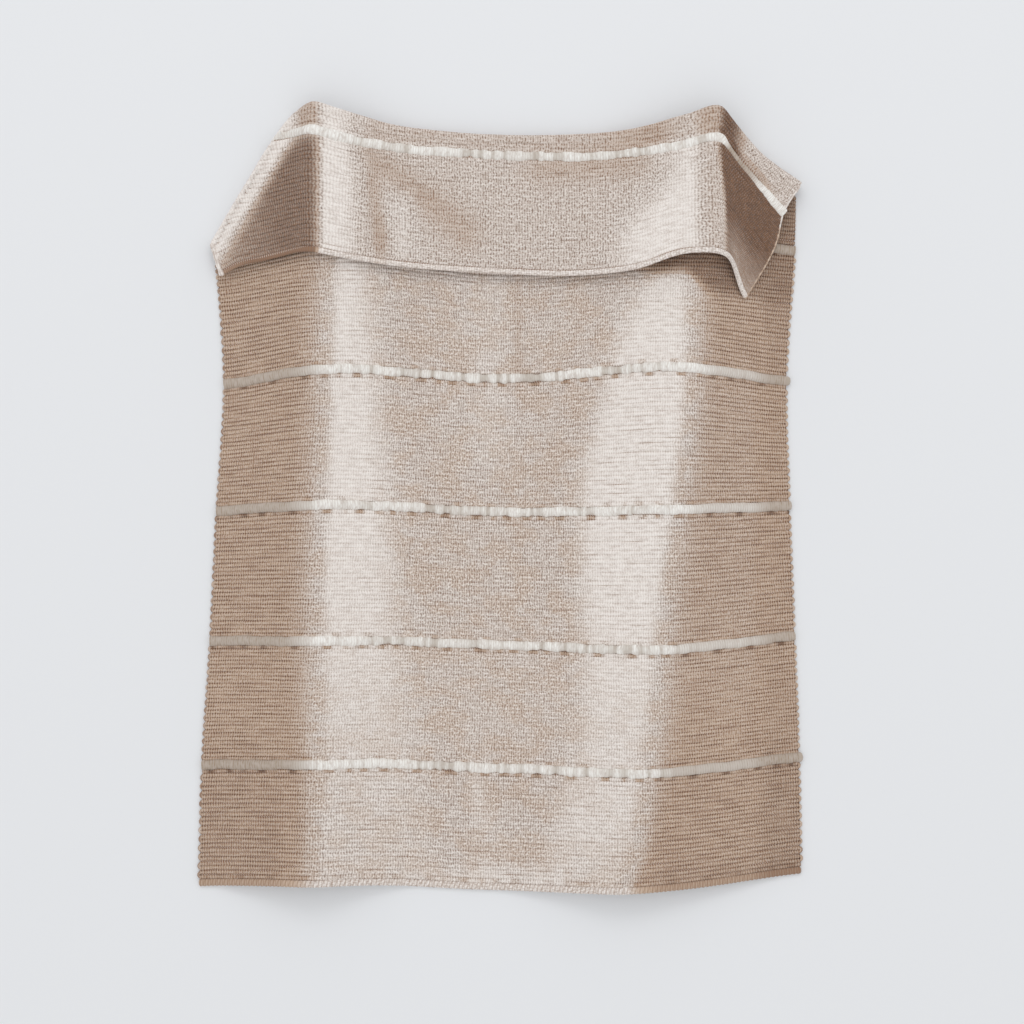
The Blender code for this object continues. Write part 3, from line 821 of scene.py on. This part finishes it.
def hem_wool(colours):
    """Whip-stitched hem: cream yarn over the turned edge, with warm to brown painted shade where the cloth
    turns away, the warp's lines on it and tan between its stitches."""
    wool = Wool("hem_stitch_wool", 0.92)
    add = wool.add
    between = add("Attribute", {"attribute_name": "groove"}, output="Fac")
    lean = add("Attribute", {"attribute_name": "lean"}, output="Fac")
    marl = add("TexNoise", {
        "Vector": add("Mapping", {"Scale": (1 / 0.008, 1 / 0.003, 1.0)}, wool.uv),
        "Scale": 1.0, "Detail": 3.0, "Roughness": 0.6})
    lines = add(
        "Math", TIMES, add("MapRange", SOFT, wool.warp(), -0.6, 0.5, 1.0, 0.0),
        add("MapRange", {}, lean, 0.9, 1.5, 0.22, 0.75))
    return wool.finish(colours.cream, (
        (add("MapRange", SOFT, marl, 0.38, 0.68), colours.oat),
        # Painted shade: warm oat, then brown where it is deepest.
        (add("MapRange", SOFT, lean, 0.45, 0.95, 0.0, 0.9), colours.warm_oat),
        (add("MapRange", {}, lean, 1.0, 1.5, 0.0, 0.70), colours.brown),
        (lines, colours.tan),
        (add("MapRange", SOFT, between, 0.45, 1.0, 0.0, 0.42), colours.tan),
    ), marl)


# --- the cloth's pieces ---
def share_steps(low, high, steps):
    """Shares of the width between low and high, with two more close to each selvedge."""
    count = max(8, int(round(steps * (high - low))))
    shares = np.linspace(low, high, count)
    if low == 0.0:
        shares = np.insert(shares, 1, (0.0009, 0.0024))
    if high == 1.0:
        shares = np.insert(shares, len(shares) - 1, (0.9976, 0.9991))
    return shares


def rounded_ends(count, low_end, high_end):
    """Scale of a tube's half sizes along it, rounded off at the ends that are free."""
    scale = np.ones(count)
    cap = np.array((0.35, 0.78, 0.95))
    if low_end:
        scale[:3] = cap
    if high_end:
        scale[-3:] = cap[::-1]
    return scale


def valid_span(is_valid):
    """The shares around the middle of the width where a thread exists."""
    shares = np.linspace(0.0, 1.0, 801)
    good = is_valid(shares)
    middle = len(shares) // 2
    low = middle
    while low > 0 and good[low - 1]:
        low -= 1
    high = middle
    while high < len(shares) - 1 and good[high + 1]:
        high += 1
    return shares[low], shares[high]


def rib(build, sizes, chance, surface, along_at, span, flat, shade=0.0):
    """Adds one weft rib, a little uneven as hand-spun yarn is, and returns its two ends. Shade adds
    painted shade in short patches, as beside a roving stripe."""
    shares = share_steps(span[0], span[1], RIB_STEPS)
    if surface is on_flap:
        between = (shares[:-1] + shares[1:]) / 2
        shares = np.sort(np.append(shares, between[between < LEFT_CORNER]))
    along = along_at(shares)
    points, across, normal, run = thread(surface, shares, along)
    lean = flap_painted_shading(points, shares, along) if surface is on_flap else painted_shading_of(points)
    phase = chance.uniform(0, 2 * math.pi, 3)
    distance = shares * FLAT_WIDTH
    sway = 0.00035 * np.sin(distance * 23 + phase[0]) + 0.00025 * np.sin(distance * 61 + phase[1])
    swell = 1 + 0.05 * np.sin(distance * 47 + phase[2]) + 0.03 * np.sin(distance * 131 + phase[0])
    patches = np.sin(distance * 173 + phase[1]) + 0.8 * np.sin(distance * 97 + phase[2])
    lean = lean + shade * np.clip(patches, 0.0, 1.0)
    swell = swell * rounded_ends(len(shares), span[0] == 0.0, span[1] == 1.0)
    # Ribs are narrower where the wings are in painted shade, so more of the gaps shows.
    wing_shade = fade(0.55, 0.95, lean) if surface is on_body else 0.0
    shut_half, open_half = sizes.shut_rib_half_width, sizes.open_rib_half_width
    build.tube(
        points + across * sway[:, None], across, normal,
        (shut_half + (open_half - shut_half) * wing_shade) * swell, CLOTH_THICKNESS / 2 * swell,
        RIB_SIDES, distance, flat, lean)
    return (points[0], -run[0], flat), (points[-1], run[-1], flat)


def selvedge_turn(build, first, second, proud, distance, lean, groove):
    """Adds the turn of the weft from the end of one rib to that of the next."""
    t = np.linspace(0.0, math.pi, TURN_STEPS)
    outward = unit(first[1] + second[1])
    points = first[0] + (second[0] - first[0]) * ((1 - np.cos(t)) / 2)[:, None]
    points = points + outward * ((proud + TURN_START) * np.sin(t) - TURN_START)[:, None]
    run = unit(np.gradient(points, axis=0))
    normal = unit(np.cross(np.broadcast_to(outward, run.shape), second[0] - first[0]))
    normal = normal * np.where(normal[:, 2:3] < 0, -1.0, 1.0)
    build.tube(
        points, np.cross(normal, run), normal, *TURN_HALF_SIZES, TURN_SIDES,
        np.full(TURN_STEPS, distance), first[2], lean, np.full(TURN_STEPS, groove))


def band_of_body_ribs(build, sizes, chance, low, high):
    """Ribs between two flat distances on the open part of the body, with the weft's turn from each to
    the next, left and right by turns."""
    count = int(round((high - low) / sizes.rib_pitch))
    shades = {0: LOW_STRIPE_SHADE, count - 1: HIGH_STRIPE_SHADE}
    ends = []
    for i in range(count):
        flat = low + (high - low) * (i + 0.5) / count
        ends.append(rib(
            build, sizes, chance, on_body, lambda s, f=flat: np.full(len(s), f), (0.0, 1.0), flat,
            shades.get(i, 0.0)))
    for i in range(count - 1):
        side = i % 2
        least, most, lean, groove = SELVEDGES[side]
        proud = chance.uniform(least, most)
        selvedge_turn(build, ends[i][side], ends[i + 1][side], proud, FLAT_WIDTH * side, lean, groove)


def fold_room(shares):
    """Distance along the cloth from the body's last stripe to the flap's stripe."""
    radius = fold_of(shares)[2]
    return hidden_length(shares) + (math.pi - 1) * radius + flap_knots(shares)[0][:, 1]


def ribs_under_flap(build, sizes, chance):
    """Ribs of the body from its last stripe up to the fold, below the flap."""
    pitch = sizes.rib_pitch
    room_over = ROVING_ROOM + RIBS_OVER_FOLD * pitch

    def reach(shares, i):
        inner = np.clip(shares, LEFT_CORNER, RIGHT_CORNER)
        spread = (fold_room(inner) - ROVING_ROOM - room_over) / RIBS_UNDER_FLAP
        ease = fade(RIGHT_CORNER, RIGHT_CORNER + 0.1, shares)
        ease = ease + fade(-LEFT_CORNER, -LEFT_CORNER + 0.1, -shares)
        return ROVING_ROOM + (spread + (pitch - spread) * ease) * (i + 0.5)

    def along(shares, i):
        stretch = (body_knots(shares)[0][:, -1] - FIFTH_STRIPE) / hidden_length(shares)
        return FIFTH_STRIPE + reach(shares, i) * stretch

    def is_valid(shares, i):
        room = np.minimum(hidden_length(shares), np.where(
            shares > RIGHT_CORNER, fold_room(shares) - room_over - pitch / 2, 1.0))
        inner = (shares >= LEFT_CORNER) & (shares <= RIGHT_CORNER)
        return inner | (reach(shares, i) < room)

    for i in range(RIBS_UNDER_FLAP):
        rib(build, sizes, chance, on_body, lambda s, i=i: along(s, i),
            valid_span(lambda s, i=i: is_valid(s, i)), FIFTH_STRIPE + ROVING_ROOM + pitch * (i + 0.5))


def flap_span(part, half_turns):
    """The shares where a thread of the flap exists: it ends where it has run round the slanting fold."""
    return valid_span(
        lambda s: (s >= LEFT_CORNER) | (flap_along(s, part) > -math.pi * half_turns * fold_of(s)[2]))


def flap_rib(build, sizes, chance, part, flat):
    """Adds one rib of the fold or the flap."""
    rib(build, sizes, chance, on_flap, lambda s: flap_along(s, part), flap_span(part, 1), flat)


def ribs_over_fold(build, sizes, chance):
    """Ribs from the flap's stripe back over the fold."""
    for i in range(RIBS_OVER_FOLD):
        back = ROVING_ROOM + sizes.rib_pitch * (i + 0.5)
        flap_rib(build, sizes, chance, lambda stripe, hem, b=back: stripe - b, FLAP_STRIPE - back)


def ribs_of_flap(build, sizes, chance):
    """Ribs from the flap's stripe to its hem."""
    first = FLAP_STRIPE + ROVING_ROOM
    count = int(round((FLAT_LENGTH - HEM_ROOM - first) / sizes.rib_pitch))
    for i in range(count):
        share = (i + 0.5) / count

        def part(stripe, hem, share=share):
            return stripe + ROVING_ROOM + (hem - HEM_ROOM - stripe - ROVING_ROOM) * share

        flap_rib(build, sizes, chance, part, first + (FLAT_LENGTH - HEM_ROOM - first) * share)


def add_ground(sizes, colours):
    """The thin ground of warp ends, one sheet on the solid's folds."""
    rows = BODY_ROWS + FOLD_ROWS + FLAP_ROWS
    bpy.ops.mesh.primitive_grid_add(x_subdivisions=GROUND_COLUMNS, y_subdivisions=rows - 1, size=1.0)
    sheet = bpy.context.active_object
    sheet.name = "warp_ground"
    shares = np.linspace(0.003, 0.997, GROUND_COLUMNS + 1)
    radius, length = fold_of(shares)[2], flap_length(shares)
    points = []
    flats = []
    for i in range(BODY_ROWS):
        flats.append(GROUND_INSET + (FOLD_AT - 0.02 - GROUND_INSET) * i / (BODY_ROWS - 1))
        points.append(on_body(shares, np.full(len(shares), flats[-1])))
    for i in range(FOLD_ROWS):
        turn = (i + 0.5) / FOLD_ROWS
        flats.append(FOLD_AT + 0.04 * (turn - 0.5))
        points.append(on_flap(shares, -math.pi * radius * (1 - turn)))
    for i in range(FLAP_ROWS):
        share = i / (FLAP_ROWS - 1)
        flats.append(FOLD_AT + 0.02 + (FLAT_LENGTH - FOLD_AT - 0.02 - GROUND_INSET) * share)
        points.append(on_flap(shares, (length - GROUND_INSET) * share))
    mesh = sheet.data
    mesh.vertices.foreach_set("co", np.concatenate(points).ravel())
    while mesh.uv_layers:
        mesh.uv_layers.remove(mesh.uv_layers[0])
    uv = np.stack(np.broadcast_arrays(shares[None, :] * FLAT_WIDTH, np.array(flats)[:, None]), axis=-1)
    add_cloth_map(mesh, uv.reshape(-1, 2))
    mesh.materials.append(warp_ground(colours))
    mesh.shade_smooth()
    wall = sheet.modifiers.new("thickness", "SOLIDIFY")
    wall.thickness = sizes.base_thickness
    wall.offset = 0.0
    bpy.ops.object.modifier_apply(modifier=wall.name)
    settle(sheet)
    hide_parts(BLANKET_NODE)


def add_ribs(sizes, colours):
    """Eight bands of weft ribs, between the hems, the roving stripes and the fold."""
    face = ribbed_wool(colours, "ribbed_wool_blend", 0)
    reverse = ribbed_wool(colours, "speckled_reverse_wool_blend", 1)
    chance = np.random.default_rng(sizes.seed)
    lows = [HEM_ROOM] + [stripe + ROVING_ROOM for stripe in STRIPES[:-1]]
    bands = [
        (f"body_ribs_{i + 1}", face, functools.partial(band_of_body_ribs, low=low, high=stripe - ROVING_ROOM))
        for i, (low, stripe) in enumerate(zip(lows, STRIPES))]
    bands += [
        ("body_ribs_under_flap", face, ribs_under_flap), ("fold_ribs", reverse, ribs_over_fold),
        ("flap_ribs", reverse, ribs_of_flap)]
    for name, material, add_band in bands:
        build = Build()
        add_band(build, sizes, chance)
        settle(build.finish(name, material))


def puff_scale(distance, chance, notch):
    """Scale of a roving along its length, puffs between ties, and how hard each place is tied."""
    scale = np.ones(len(distance))
    tied = np.zeros(len(distance))
    at = 0.0
    while at < FLAT_WIDTH:
        middle = 1 - abs(at / FLAT_WIDTH - 0.5) * 2
        strength = 0.35 + 0.65 * fade(0.30, 0.62, middle)
        step = chance.uniform(*PUFF_LENGTH)
        puff = chance.uniform(-0.14, 0.10) * strength
        scale += puff * np.exp(-((distance - at - step / 2) / (step / 2)) ** 4)
        at += step
        depth = chance.uniform(*(HARD_TIE if chance.uniform() < HARD_TIE_SHARE else SOFT_TIE))
        tied += (0.02 + depth * strength) * np.exp(-((distance - at) / TIE_HALF_LENGTH) ** 2)
    if notch:
        tied += NOTCH_DEPTH * np.exp(-((distance - notch) / NOTCH_HALF_LENGTH) ** 2)
    tied = np.minimum(tied, DEEPEST_TIE)
    return scale - tied, tied


def roving(build, sizes, chance, surface, along_at, span, flat, bulges, slimming=None, notch=0.0):
    """Adds one roving stripe, which may bulge past the selvedges at its ends."""
    shares = np.linspace(span[0], span[1], int(ROVING_STEPS * (span[1] - span[0])))
    points, across, normal, run = thread(surface, shares, along_at(shares))
    # Painted shade on the roving: on the flap, more on the left wing and near the right crease; on the body,
    # that of the cloth under it, a little less on the right half.
    if surface is on_flap:
        lean = 0.3 + 0.25 * (1 - fade(0.17, 0.21, shares)) + 0.75 * band(shares, 0.83, 0.855, 0.87, 0.96)
    else:
        lean = painted_shading_of(points) - 0.12 * (points[:, 0] > 0)
        points[:, 2] += ROVING_LIFT
    distance = shares * FLAT_WIDTH
    scale, tied = puff_scale(distance, chance, notch)
    phase = chance.uniform(0, 2 * math.pi, 2)
    sway = 0.0007 * np.sin(distance * 37 + phase[0]) + 0.0005 * np.sin(distance * 97 + phase[1])
    upward = np.where(across[:, 1:2] < 0, -1.0, 1.0)
    points = points + across * (sway + 0.003 * tied)[:, None] * upward
    middle = fade(0.30, 0.55, 1 - np.abs(shares - 0.5) * 2)
    half_width = sizes.roving_half_width + (sizes.middle_roving_half_width - sizes.roving_half_width) * middle
    scale = scale * (slimming(shares) if slimming else 1.0)
    half_width = half_width * scale
    half_height = ROVING_THICKNESS / 2 * scale * (half_width / half_width.max()) ** 0.8
    parts = [(points, across, normal, half_width, half_height, distance, lean, tied)]
    for end, bulge in ((0, bulges[0]), (-1, bulges[1])):
        outward = run[end] * (1 if end else -1)
        tip = points[end] + outward[None] * (bulge * BULGE_REACH)[:, None]
        pads = (tip, *(np.repeat(rows[[end]], len(BULGE_REACH), 0) for rows in (across, normal)),
                BULGE_SIZE * half_width[end], BULGE_SIZE * half_height[end],
                *(np.repeat(row[end], len(BULGE_REACH)) for row in (distance, lean, tied)))
        if end:
            parts.append(tuple(p[::-1] for p in pads))
        else:
            parts.insert(0, pads)
    *tube, distance, lean, tied = (np.concatenate(p) for p in zip(*parts))
    build.tube(*tube, ROVING_SIDES, distance, flat, lean, tied)


def add_rovings(sizes, colours):
    """Six raised stripes of unspun roving."""
    material = roving_wool(colours)
    chance = np.random.default_rng(sizes.seed + 1)
    for i, flat in enumerate(STRIPES):
        build = Build()
        low = FIFTH_ROVING_FROM if flat == STRIPES[-1] else 0.0
        roving(
            build, sizes, chance, on_body, lambda s, f=flat: np.full(len(s), f), (low, 1.0), flat,
            (LEFT_BULGE, RIGHT_BULGES[i]), notch=ROVING_NOTCHES[i])
        settle(build.finish(f"roving_stripe_{i + 1}", material))

    def stripe_part(stripe, hem):
        return stripe

    def slimming(shares):
        """Full at the left corner, thin on the wing and past the right crease."""
        thin = 0.46 * (1 - fade(0.10, LEFT_CORNER, shares)) + 0.34 * band(shares, 0.82, 0.85, 0.88, 0.985)
        return 1.04 + 0.10 * band(shares, 0.18, 0.20, 0.24, 0.34) - thin

    build = Build()
    roving(
        build, sizes, chance, on_flap, lambda s: flap_along(s, stripe_part),
        flap_span(stripe_part, 0.5), FLAP_STRIPE, FLAP_BULGES, slimming)
    settle(build.finish("roving_stripe_flap", material))


def hem(build, sizes, surface, along_at, flat, relief):
    """Adds one hem: the turned edge with slanted stitches raised on it, slimmer on the flap's wing."""
    shares = np.linspace(0.0, 1.0, HEM_STEPS)
    along = along_at(shares)
    points, across, normal, _ = thread(surface, shares, along)
    # The hem takes the painted light and shade of the cloth under it; on the flap only its left half does.
    if surface is on_body:
        lean = painted_shading_of(points)
        points[:, 2] += HEM_LIFT
        half_width, half_height, groove = sizes.hem_half_width, HEM_HALF_HEIGHT, 1.0
    else:
        lean = np.where(shares < 0.5, flap_painted_shading(points, shares, along), 0.3)
        wing = 1 - fade(LEFT_CORNER - 0.03, LEFT_CORNER, shares)
        half_width = sizes.hem_half_width * (0.8 - 0.3 * wing)
        half_height, groove = HEM_HALF_HEIGHT - 0.0009 * wing, 0.5
    distance = shares * FLAT_WIDTH
    ends = rounded_ends(len(shares), True, True)
    build.tube(points, across, normal, half_width * ends, half_height * ends, HEM_SIDES, distance, flat, lean)
    vertices = build.vertices[-1].reshape(len(shares), HEM_SIDES, 3)
    turns = np.arange(HEM_SIDES) * 2 * math.pi / HEM_SIDES
    slant = distance[:, None] / sizes.stitch_pitch * 2 * math.pi + turns[None, :] * 1.6
    ridge = 0.5 + 0.5 * np.sin(slant + 0.8 * np.sin(distance[:, None] * 29))
    outward = unit(vertices - points[:, None])
    vertices += outward * (ridge[..., None] - 0.5) * relief * ends[:, None, None]
    build.groove[-1] = ((1 - ridge) * groove).reshape(-1)


def flap_selvedge(build, share, half_width):
    """Adds the corded edge of the flap at one selvedge, from its fold to its hem."""
    length = flap_length(np.array([share]))[0]
    along = np.linspace(SELVEDGE_ALONG_FLAP[0], length + SELVEDGE_ALONG_FLAP[1], SELVEDGE_STEPS)
    shares = np.full(SELVEDGE_STEPS, share)
    points = on_flap(shares, along)
    run = unit(np.gradient(points, axis=0))
    normal = unit(np.cross(run, points - on_flap(np.abs(shares - 0.004), along)))
    knots = 1 + 0.10 * np.sin(along * 2 * math.pi / CORD_PITCH)
    half = half_width * knots * rounded_ends(SELVEDGE_STEPS, True, True)
    # The right cord is in painted shade from a little past the fold; the left cord stays light.
    build.tube(
        points, np.cross(normal, run), normal, half, half, ROVING_SIDES, shares * FLAT_WIDTH + along * 0.3,
        FOLD_AT, 0.3 + 0.7 * share * fade(0.07, 0.10, along), np.zeros(SELVEDGE_STEPS))


def add_hems(sizes, colours):
    """The whip-stitched hem of the body and that of the flap, with the flap's corded sides."""
    material = hem_wool(colours)
    inset = sizes.hem_half_width
    build = Build()
    hem(build, sizes, on_body, lambda s: np.full(len(s), inset), inset, 0.0011)
    settle(build.finish("hem_body", material))
    build = Build()
    hem(build, sizes, on_flap, lambda s: flap_length(s) - inset, FLAT_LENGTH - inset, 0.0002)
    for share, half_width in FLAP_CORDS:
        flap_selvedge(build, share, half_width)
    settle(build.finish("hem_flap", material))


# --- the stage's pieces ---
def add_key_light():
    """Adds the one long soft light, its length level."""
    light = bpy.data.lights.new("key_from_fold", "AREA")
    light.shape = "RECTANGLE"
    light.size = KEY_LENGTH
    light.size_y = KEY_WIDTH
    light.energy = KEY_POWER
    light.spread = math.radians(KEY_SPREAD)
    lamp = bpy.data.objects.new("key_from_fold", light)
    lamp.location = KEY_PLACE
    lamp.rotation_euler = (Vector() - Vector(KEY_PLACE)).to_track_quat("-Z", "Y").to_euler()
    lamp.visible_camera = False
    bpy.context.scene.collection.objects.link(lamp)


def add_stage():
    """Adds a plain matte floor, the camera that looks straight down, even white light and the key light."""
    scene = bpy.context.scene
    bpy.ops.mesh.primitive_plane_add(size=FLOOR_SIZE, location=(0, 0, -FLOOR_DROP))
    floor = bpy.context.active_object
    floor.name = "floor"
    # Matte paint scatters the light, so the floor is even and shows no mirror image.
    material = bpy.data.materials.new("matte_floor_paint")
    material.use_nodes = True
    shader = material.node_tree.nodes["Principled BSDF"]
    shader.inputs["Base Color"].default_value = linear(FLOOR_PALE)
    shader.inputs["Roughness"].default_value = 0.9
    floor.data.materials.append(material)
    camera_data = bpy.data.cameras.new("camera")
    camera_data.lens = LENS
    camera_data.sensor_width = SENSOR_WIDTH
    camera = bpy.data.objects.new("camera", camera_data)
    camera.location = (*CAMERA_AIM, CAMERA_HEIGHT)
    scene.collection.objects.link(camera)
    scene.camera = camera
    scene.world = bpy.data.worlds.new("studio")
    scene.world.use_nodes = True
    background = scene.world.node_tree.nodes["Background"]
    background.inputs["Color"].default_value = (1.0, 1.0, 1.0, 1.0)
    background.inputs["Strength"].default_value = EVEN_STRENGTH
    add_key_light()
    scene.view_settings.view_transform = "Standard"


# --- operators ---
class THROW_OT_ground(bpy.types.Operator):
    """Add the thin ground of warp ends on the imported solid's folds"""
    bl_idname = "throw.ground"
    bl_label = "Add warp ground"

    def execute(self, context):
        add_ground(context.scene.throw_sizes, context.scene.throw_colours)
        return {"FINISHED"}


class THROW_OT_ribs(bpy.types.Operator):
    """Add the bands of weft ribs"""
    bl_idname = "throw.ribs"
    bl_label = "Add weft ribs"

    def execute(self, context):
        add_ribs(context.scene.throw_sizes, context.scene.throw_colours)
        return {"FINISHED"}


class THROW_OT_rovings(bpy.types.Operator):
    """Add the six raised roving stripes"""
    bl_idname = "throw.rovings"
    bl_label = "Add roving stripes"

    def execute(self, context):
        add_rovings(context.scene.throw_sizes, context.scene.throw_colours)
        return {"FINISHED"}


class THROW_OT_hems(bpy.types.Operator):
    """Add both whip-stitched hems"""
    bl_idname = "throw.hems"
    bl_label = "Add hems"

    def execute(self, context):
        add_hems(context.scene.throw_sizes, context.scene.throw_colours)
        return {"FINISHED"}


class THROW_OT_stage(bpy.types.Operator):
    """Add the floor, the camera above it, the even light and the key light"""
    bl_idname = "throw.stage"
    bl_label = "Add stage"

    def execute(self, context):
        add_stage()
        return {"FINISHED"}


OPERATORS = (THROW_OT_ground, THROW_OT_ribs, THROW_OT_rovings, THROW_OT_hems, THROW_OT_stage)


class THROW_PT_panel(bpy.types.Panel):
    """Lists the throw's sizes and pieces"""
    bl_label = "Ribbed Woven Throw"
    bl_idname = "THROW_PT_panel"
    bl_space_type = "VIEW_3D"
    bl_region_type = "UI"
    bl_category = "Throw"

    def draw(self, context):
        for group in (context.scene.throw_sizes, context.scene.throw_colours):
            for key in group.__annotations__:
                self.layout.prop(group, key)
        for operator in OPERATORS:
            self.layout.operator(operator.bl_idname)


CLASSES = (ThrowSizes, ThrowColours, *OPERATORS, THROW_PT_panel)


def register():
    for item in CLASSES:
        bpy.utils.register_class(item)
    bpy.types.Scene.throw_sizes = PointerProperty(type=ThrowSizes)
    bpy.types.Scene.throw_colours = PointerProperty(type=ThrowColours)


def unregister():
    del bpy.types.Scene.throw_colours
    del bpy.types.Scene.throw_sizes
    for item in reversed(CLASSES):
        bpy.utils.unregister_class(item)


def main():
    """Adds the stage and the pieces in order."""
    register()
    bpy.ops.object.select_all(action="DESELECT")
    bpy.ops.throw.stage()
    bpy.ops.throw.ground()
    bpy.ops.throw.ribs()
    bpy.ops.throw.rovings()
    bpy.ops.throw.hems()


if __name__ == "__main__":
    main()
